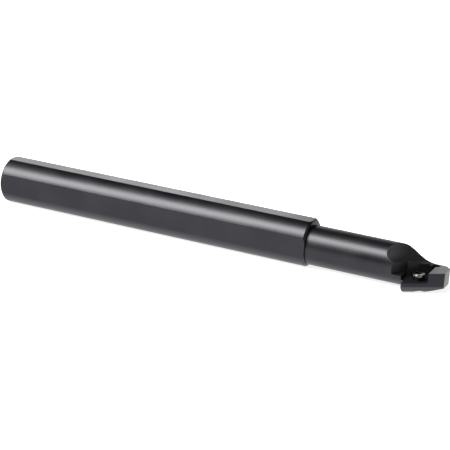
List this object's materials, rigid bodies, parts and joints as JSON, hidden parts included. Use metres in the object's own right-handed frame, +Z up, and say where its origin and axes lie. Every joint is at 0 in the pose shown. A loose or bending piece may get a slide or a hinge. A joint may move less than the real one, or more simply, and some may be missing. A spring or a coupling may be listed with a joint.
{
  "type": "boring bar",
  "caption": "Internal back boring bar: round shank with clamping flats, slimmer neck and a milled head with a chip gullet, an open rhombic insert pocket and a clamp screw.",
  "frame": {"origin": "on the shank's axis at the shoulder where the shank meets the neck", "axes": "+X along the bar to its nose, +Z up, square to the top flat and to the insert's seat, +Y away from the cutting side"},
  "size_m": [0.2, 0.0205, 0.019],
  "materials": {
    "blackened_steel": "satin black oxide",
    "screw_steel": "bright"
  },
  "bodies": {
    "root": {"bar_body": "blackened_steel", "clamp_screw": "screw_steel"}
  },
  "joints": []
}
